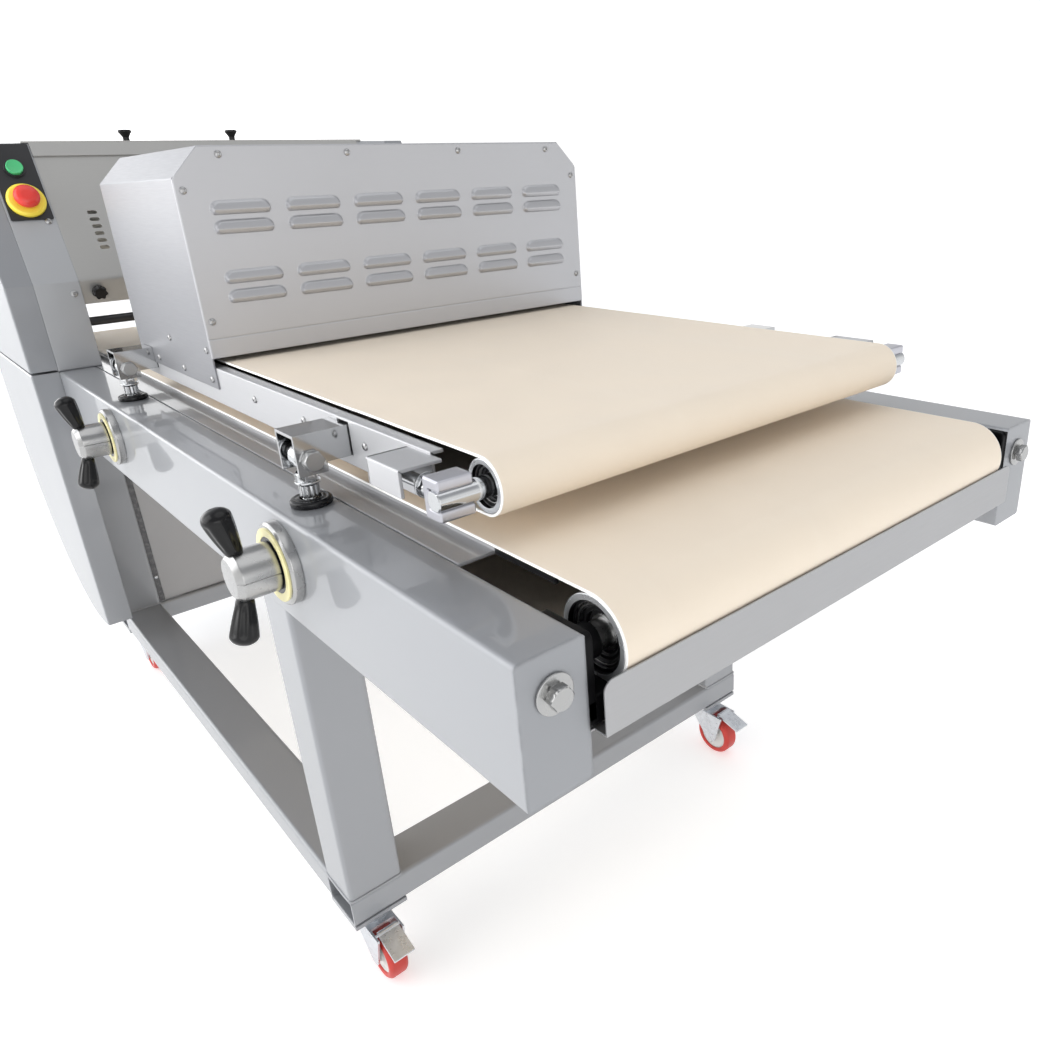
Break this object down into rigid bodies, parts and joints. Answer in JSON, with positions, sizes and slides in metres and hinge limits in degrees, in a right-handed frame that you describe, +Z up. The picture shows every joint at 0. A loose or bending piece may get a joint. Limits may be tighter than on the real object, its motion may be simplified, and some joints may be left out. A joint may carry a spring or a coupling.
{
  "type": "dough moulder",
  "caption": "Free-standing bakery dough moulder: long lower belt, height-adjustable upper pressing belt with louvred hood, sheeting head at the infeed end, base on braked casters.",
  "frame": {"origin": "floor level under the middle of the side beams' length and width", "axes": "+X along the belts towards the outfeed end, +Y to the far side away from the handles, +Z up"},
  "size_m": [1.9755, 0.8929, 1.155],
  "materials": {
    "grey_paint": "gloss silver-grey paint",
    "hood_steel": "satin",
    "stainless": "brushed",
    "belting": "cream woven belting",
    "bright_steel": "polished",
    "plain_steel": "oiled",
    "bearing_iron": "cast",
    "motor_casing": "grey enamel over die-cast casing",
    "roller_plastic": "white food plastic",
    "black_plastic": "black moulded",
    "black_paint": "black satin",
    "yellow_plastic": "yellow",
    "red_plastic": "red",
    "green_plastic": "green",
    "zinc": "bright zinc plate",
    "red_tread": "red polyurethane"
  },
  "bodies": {
    "frame": {"near_beam": "grey_paint", "far_beam": "grey_paint", "legs": "grey_paint", "side_base_tubes": "grey_paint", "cross_base_tubes": "grey_paint", "lower_bed": "stainless", "lower_belt": "belting", "front_apron": "stainless", "roller_bearing_blocks": "bearing_iron", "belt_tension_bolts": "bright_steel", "drive_motor": "motor_casing", "drive_chain": "plain_steel", "head_columns": "grey_paint", "upper_guards": "grey_paint", "lower_guards": "grey_paint", "head_front_panel": "stainless", "head_lid": "stainless", "feed_chute": "stainless", "cabinet_panel": "stainless", "control_panel": "black_paint", "estop_base": "yellow_plastic", "head_knobs": "black_plastic", "throat_bar": "black_paint", "handle_flanges": "bright_steel", "lift_bushes": "black_plastic"},
    "front_lift_studs": {"front_lift_studs": "bright_steel"},
    "upper_conveyor": {"upper_side_plates": "hood_steel", "front_cross_bar": "bright_steel", "rear_cross_bar": "bright_steel", "upper_bed": "stainless", "upper_belt": "belting", "tension_yokes": "bright_steel", "hood_shell": "hood_steel", "hood_front_panel": "hood_steel", "upper_fasteners": "bright_steel", "upper_motor": "motor_casing", "rear_lift_studs": "bright_steel"},
    "front_handle": {"front_handle": "bright_steel", "front_handle_grips": "black_plastic"},
    "rear_handle": {"rear_handle": "bright_steel", "rear_handle_grips": "black_plastic"},
    "lower_front_roller": {"lower_front_roller": "bright_steel"},
    "lower_drive_roller": {"lower_drive_roller": "bright_steel"},
    "motor_sprocket": {"motor_sprocket": "plain_steel"},
    "upper_front_roller": {"upper_front_roller": "bright_steel"},
    "upper_drive_roller": {"upper_drive_roller": "bright_steel"},
    "front_sheeting_roller": {"front_sheeting_roller": "roller_plastic"},
    "rear_sheeting_roller": {"rear_sheeting_roller": "roller_plastic"},
    "estop_button": {"estop_button": "red_plastic"},
    "start_button": {"start_button": "green_plastic"},
    "near_front_caster_fork": {"near_front_caster_fork": "zinc"},
    "near_front_caster_wheel": {"near_front_caster_wheel": "red_tread"},
    "near_front_brake_pedal": {"near_front_brake_pedal": "zinc"},
    "far_front_caster_fork": {"far_front_caster_fork": "zinc"},
    "far_front_caster_wheel": {"far_front_caster_wheel": "red_tread"},
    "far_front_brake_pedal": {"far_front_brake_pedal": "zinc"},
    "near_rear_caster_fork": {"near_rear_caster_fork": "zinc"},
    "near_rear_caster_wheel": {"near_rear_caster_wheel": "red_tread"},
    "far_rear_caster_fork": {"far_rear_caster_fork": "zinc"},
    "far_rear_caster_wheel": {"far_rear_caster_wheel": "red_tread"}
  },
  "joints": [
    {"name": "front_lift", "type": "hinge", "parent": "frame", "child": "front_lift_studs", "pos_m": [-0.127, 0, 0.776], "axis": [0, -1, 0], "range_deg": [0, 1.7]},
    {"name": "rear_lift", "type": "hinge", "parent": "front_lift_studs", "child": "upper_conveyor", "pos_m": [0.548, 0, 0.776], "axis": [0, 1, 0], "range_deg": [0, 1.7]},
    {"name": "front_handle_turn", "type": "hinge", "parent": "frame", "child": "front_handle", "pos_m": [0.548, -0.39, 0.673], "axis": [0, -1, 0], "range_deg": [0, 180]},
    {"name": "rear_handle_turn", "type": "hinge", "parent": "frame", "child": "rear_handle", "pos_m": [-0.127, -0.39, 0.673], "axis": [0, -1, 0], "range_deg": [0, 180]},
    {"name": "lower_front_roller_spin", "type": "hinge", "parent": "frame", "child": "lower_front_roller", "pos_m": [0.921, 0, 0.6967], "axis": [0, 1, 0], "continuous": true},
    {"name": "lower_drive_roller_spin", "type": "hinge", "parent": "frame", "child": "lower_drive_roller", "pos_m": [-0.9, 0, 0.6967], "axis": [0, 1, 0], "continuous": true},
    {"name": "motor_sprocket_spin", "type": "hinge", "parent": "frame", "child": "motor_sprocket", "pos_m": [-0.79, 0, 0.34], "axis": [0, 1, 0], "continuous": true},
    {"name": "upper_front_roller_spin", "type": "hinge", "parent": "upper_conveyor", "child": "upper_front_roller", "pos_m": [0.789, 0, 0.787], "axis": [0, 1, 0], "continuous": true},
    {"name": "upper_drive_roller_spin", "type": "hinge", "parent": "upper_conveyor", "child": "upper_drive_roller", "pos_m": [-0.065, 0, 0.787], "axis": [0, 1, 0], "continuous": true},
    {"name": "front_sheeting_roller_spin", "type": "hinge", "parent": "frame", "child": "front_sheeting_roller", "pos_m": [-0.675, 0, 0.96], "axis": [0, 1, 0], "continuous": true},
    {"name": "rear_sheeting_roller_spin", "type": "hinge", "parent": "frame", "child": "rear_sheeting_roller", "pos_m": [-0.765, 0, 0.96], "axis": [0, 1, 0], "continuous": true},
    {"name": "estop_press", "type": "slide", "parent": "frame", "child": "estop_button", "axis": [-0.9071, 0, -0.421], "range_m": [0, 0.005], "stiffness_N_per_m": 600, "springref_m": -0.002},
    {"name": "start_press", "type": "slide", "parent": "frame", "child": "start_button", "axis": [-0.9071, 0, -0.421], "range_m": [0, 0.003], "stiffness_N_per_m": 500, "springref_m": -0.002},
    {"name": "near_front_caster_swivel", "type": "hinge", "parent": "frame", "child": "near_front_caster_fork", "pos_m": [0.4505, -0.3445, 0.106], "axis": [0, 0, 1], "continuous": true},
    {"name": "near_front_wheel_spin", "type": "hinge", "parent": "near_front_caster_fork", "child": "near_front_caster_wheel", "pos_m": [0.4805, -0.3445, 0.0375], "axis": [0, 1, 0], "continuous": true},
    {"name": "near_front_brake_pedal_tilt", "type": "hinge", "parent": "near_front_caster_fork", "child": "near_front_brake_pedal", "pos_m": [0.4965, -0.3445, 0.0865], "axis": [0, -1, 0], "range_deg": [0, 20]},
    {"name": "far_front_caster_swivel", "type": "hinge", "parent": "frame", "child": "far_front_caster_fork", "pos_m": [0.4505, 0.3445, 0.106], "axis": [0, 0, 1], "continuous": true},
    {"name": "far_front_wheel_spin", "type": "hinge", "parent": "far_front_caster_fork", "child": "far_front_caster_wheel", "pos_m": [0.4805, 0.3445, 0.0375], "axis": [0, 1, 0], "continuous": true},
    {"name": "far_front_brake_pedal_tilt", "type": "hinge", "parent": "far_front_caster_fork", "child": "far_front_brake_pedal", "pos_m": [0.4965, 0.3445, 0.0865], "axis": [0, -1, 0], "range_deg": [0, 20]},
    {"name": "near_rear_caster_swivel", "type": "hinge", "parent": "frame", "child": "near_rear_caster_fork", "pos_m": [-0.6775, -0.3445, 0.106], "axis": [0, 0, 1], "continuous": true},
    {"name": "near_rear_wheel_spin", "type": "hinge", "parent": "near_rear_caster_fork", "child": "near_rear_caster_wheel", "pos_m": [-0.6475, -0.3445, 0.0375], "axis": [0, 1, 0], "continuous": true},
    {"name": "far_rear_caster_swivel", "type": "hinge", "parent": "frame", "child": "far_rear_caster_fork", "pos_m": [-0.6775, 0.3445, 0.106], "axis": [0, 0, 1], "continuous": true},
    {"name": "far_rear_wheel_spin", "type": "hinge", "parent": "far_rear_caster_fork", "child": "far_rear_caster_wheel", "pos_m": [-0.6475, 0.3445, 0.0375], "axis": [0, 1, 0], "continuous": true}
  ],
  "couplings": [
    {"joint": "front_handle_turn", "follows": "front_lift", "ratio": 106.01},
    {"joint": "rear_handle_turn", "follows": "rear_lift", "ratio": 106.01},
    {"joint": "lower_front_roller_spin", "follows": "lower_drive_roller_spin", "ratio": 1},
    {"joint": "motor_sprocket_spin", "follows": "lower_drive_roller_spin", "ratio": 1},
    {"joint": "upper_front_roller_spin", "follows": "upper_drive_roller_spin", "ratio": 1},
    {"joint": "rear_sheeting_roller_spin", "follows": "front_sheeting_roller_spin", "ratio": -1}
  ]
}
